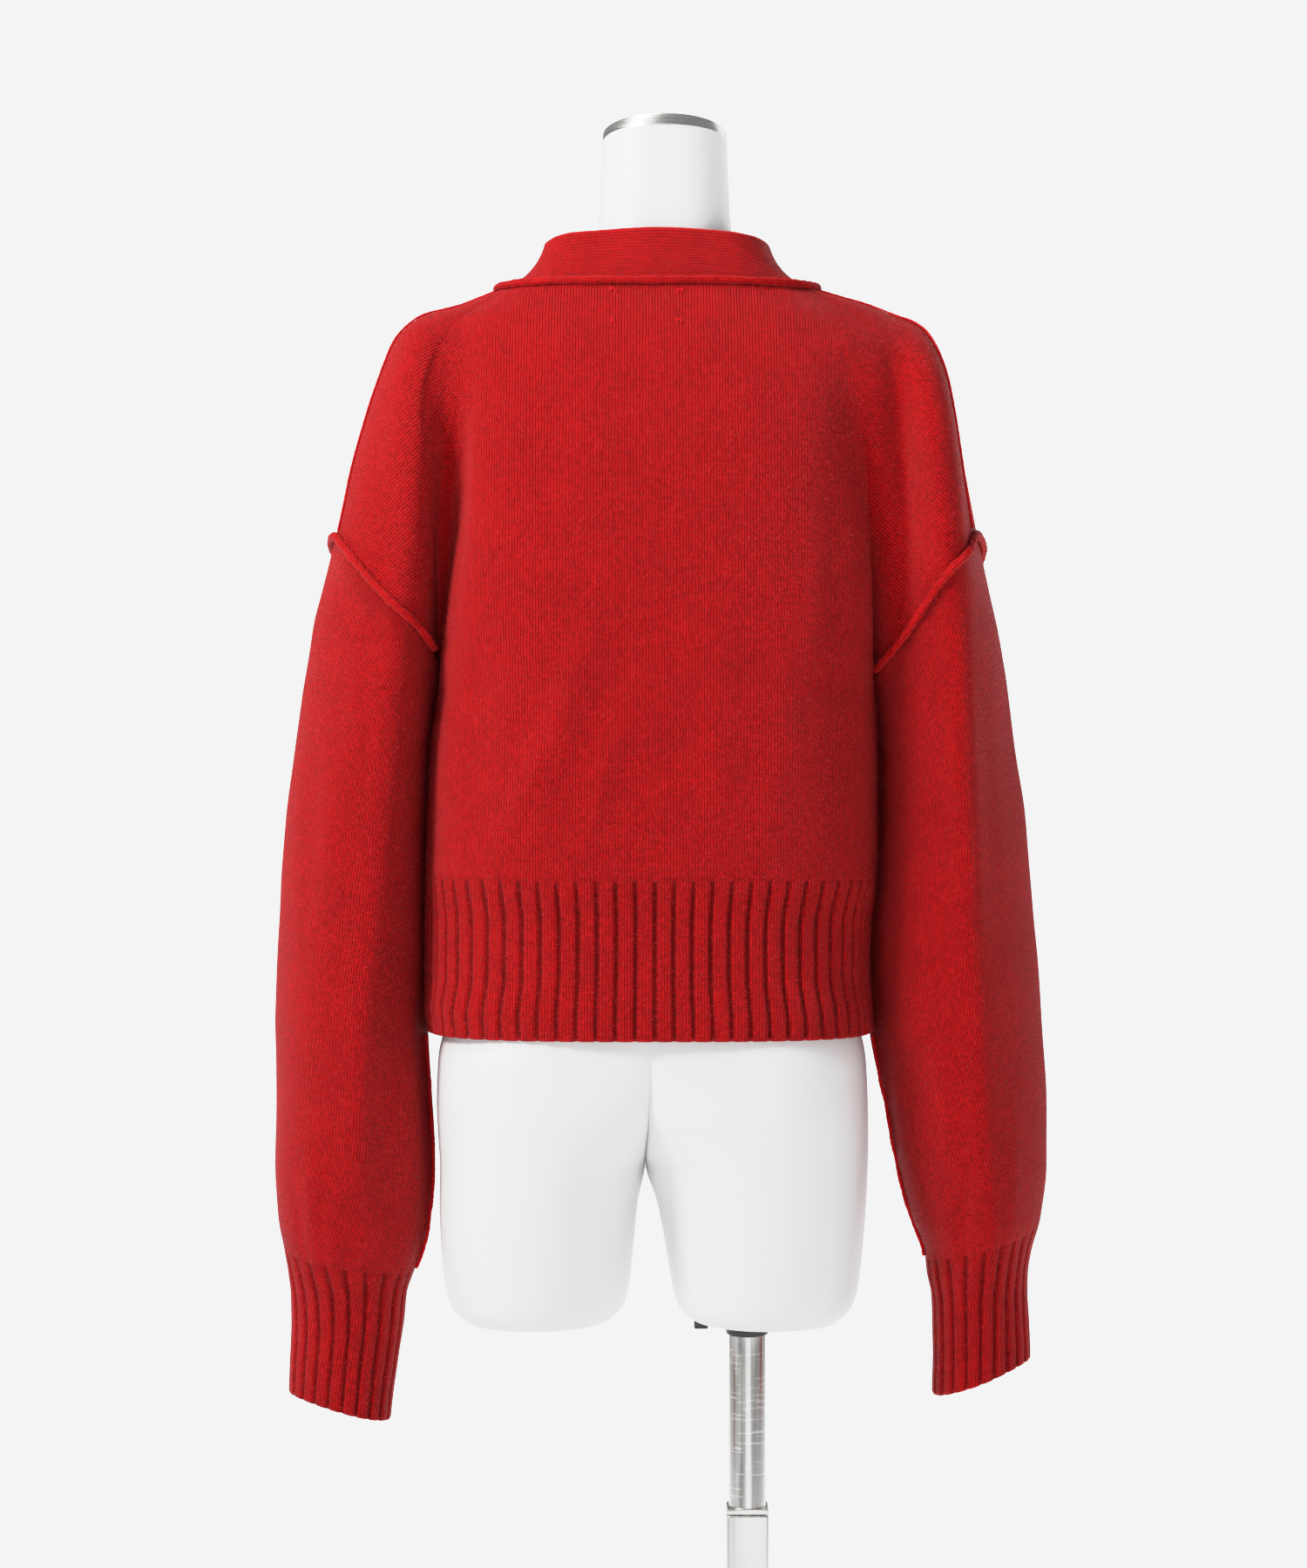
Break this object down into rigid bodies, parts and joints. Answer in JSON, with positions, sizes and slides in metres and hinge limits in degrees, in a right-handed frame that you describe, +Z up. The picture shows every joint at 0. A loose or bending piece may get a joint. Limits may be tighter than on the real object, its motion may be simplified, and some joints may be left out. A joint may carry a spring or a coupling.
{
  "type": "cropped cardigan worn on a dress form with a pole stand",
  "caption": "Cropped ribbed-edge knitted cardigan with dropped sleeves, buttoned on a limbless dress form on an adjustable pole stand.",
  "frame": {"origin": "centre of the base plate's underside, below the dress form's middle", "axes": "+Z up, +Y towards the wearer's back, +X towards the wearer's left"},
  "size_m": [0.536, 0.33, 1.48],
  "materials": {
    "knit": "fine wool knit, soft and matt",
    "button": "satin",
    "form_white": "smooth satin white shell",
    "brushed_steel": "brushed, lightly scratched",
    "black_plastic": "satin moulded"
  },
  "bodies": {
    "stand": {"base_plate": "brushed_steel", "stand_tube": "brushed_steel", "tube_cap": "brushed_steel"},
    "mast": {"pole": "brushed_steel"},
    "figure": {"clamp_collar": "black_plastic", "clamp_knob": "black_plastic", "dress_form": "form_white", "neck_cap": "brushed_steel", "back": "knit", "back_rib": "knit", "front_left": "knit", "front_right": "knit", "front_left_rib": "knit", "front_right_rib": "knit", "sleeve_left": "knit", "sleeve_right": "knit", "cuff_left": "knit", "cuff_right": "knit", "front_band": "knit", "band_seam": "knit", "shoulder_seam_left": "knit", "shoulder_seam_right": "knit", "armhole_seam_left": "knit", "armhole_seam_right": "knit", "sleeve_seam_left": "knit", "sleeve_seam_right": "knit", "button_1": "button", "button_2": "button", "button_3": "button", "button_4": "button", "button_5": "button"}
  },
  "joints": [
    {"name": "height_slide", "type": "slide", "parent": "stand", "child": "mast", "axis": [0, 0, 1], "range_m": [-0.1, 0.15]},
    {"name": "form_turn", "type": "hinge", "parent": "mast", "child": "figure", "pos_m": [-0.064, 0, 0.644], "axis": [0, 0, 1], "continuous": true}
  ]
}
